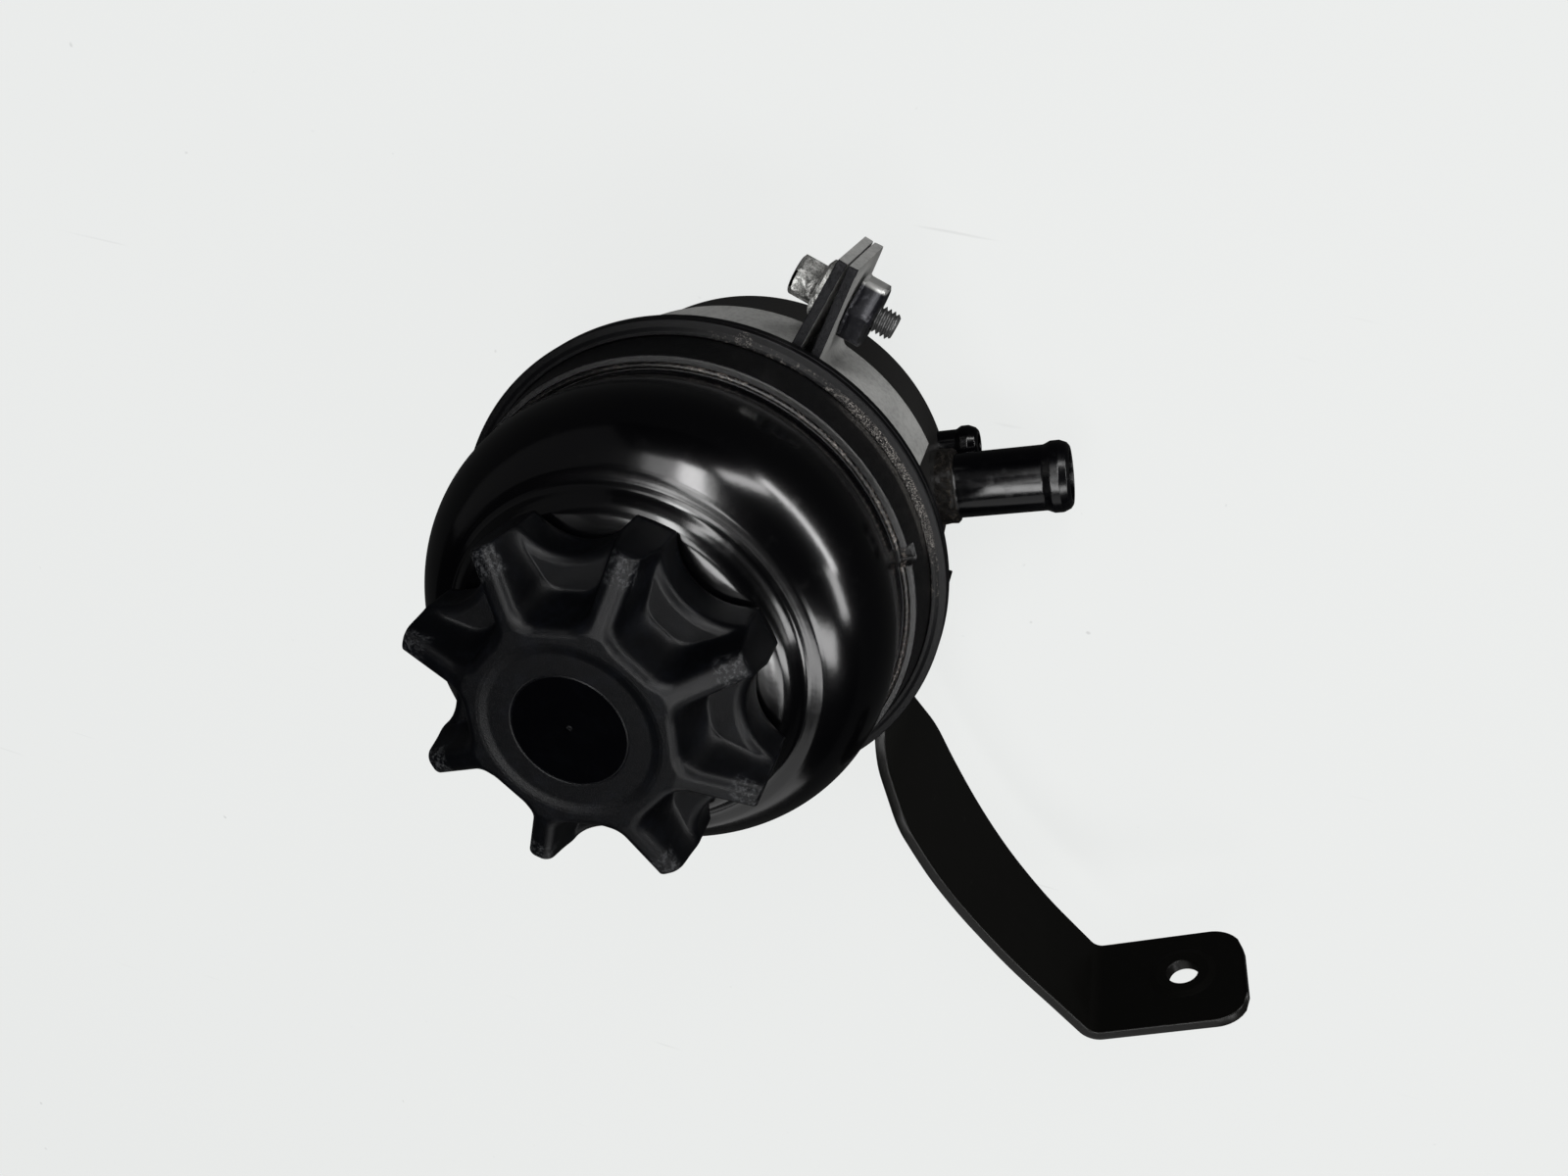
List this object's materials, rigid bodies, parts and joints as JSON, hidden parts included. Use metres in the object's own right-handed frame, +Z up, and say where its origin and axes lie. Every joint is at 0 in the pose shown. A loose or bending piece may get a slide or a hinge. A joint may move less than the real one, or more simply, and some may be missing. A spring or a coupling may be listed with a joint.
{
  "type": "power steering reservoir",
  "caption": "Round black fluid reservoir with a star grip cap, glossy dome, cup with two hose nozzles, steel band clamp and a curved bracket arm",
  "frame": {"origin": "centre of the flat base's underside, on the reservoir's axis", "axes": "+Z up along the axis to the cap; +X lies between the nozzles and the bracket arm"},
  "size_m": [0.2027, 0.1741, 0.1239],
  "materials": {
    "cup_plastic": "matt dark grey-black moulding",
    "dome_plastic": "glossy black moulding",
    "cap_plastic": "satin black, fine grain",
    "seal_rubber": "black sealing rubber",
    "stick_plastic": "black plastic",
    "nozzle_plastic": "glossy black",
    "strainer_plastic": "dark plastic",
    "mesh_steel": "woven steel screen",
    "strap_steel": "grey-black coating, sheared edges bare",
    "bolt_steel": "zinc plated, white corrosion",
    "nut_steel": "dark plated",
    "bracket_paint": "satin black paint"
  },
  "bodies": {
    "reservoir": {"lower_shell": "cup_plastic", "upper_shell": "dome_plastic", "suction_nozzle": "nozzle_plastic", "return_nozzle": "nozzle_plastic", "strainer_frame": "strainer_plastic", "strainer_mesh": "mesh_steel", "baffle": "strainer_plastic", "clamp_strap": "strap_steel", "clamp_bolt": "bolt_steel", "clamp_washer": "bolt_steel", "clamp_nut": "nut_steel", "bracket_arm": "bracket_paint"},
    "cap_carrier": {"cap_seal": "seal_rubber"},
    "cap": {"cap": "cap_plastic", "dipstick": "stick_plastic"}
  },
  "joints": [
    {"name": "cap_lift", "type": "slide", "parent": "reservoir", "child": "cap_carrier", "axis": [0, 0, 1], "range_m": [0, 0.006]},
    {"name": "cap_turn", "type": "hinge", "parent": "cap_carrier", "child": "cap", "pos_m": [0, 0, 0.113], "axis": [0, 0, 1], "range_deg": [0, 540]}
  ],
  "couplings": [
    {"joint": "cap_turn", "follows": "cap_lift", "rad_per_m": 1570.8}
  ]
}
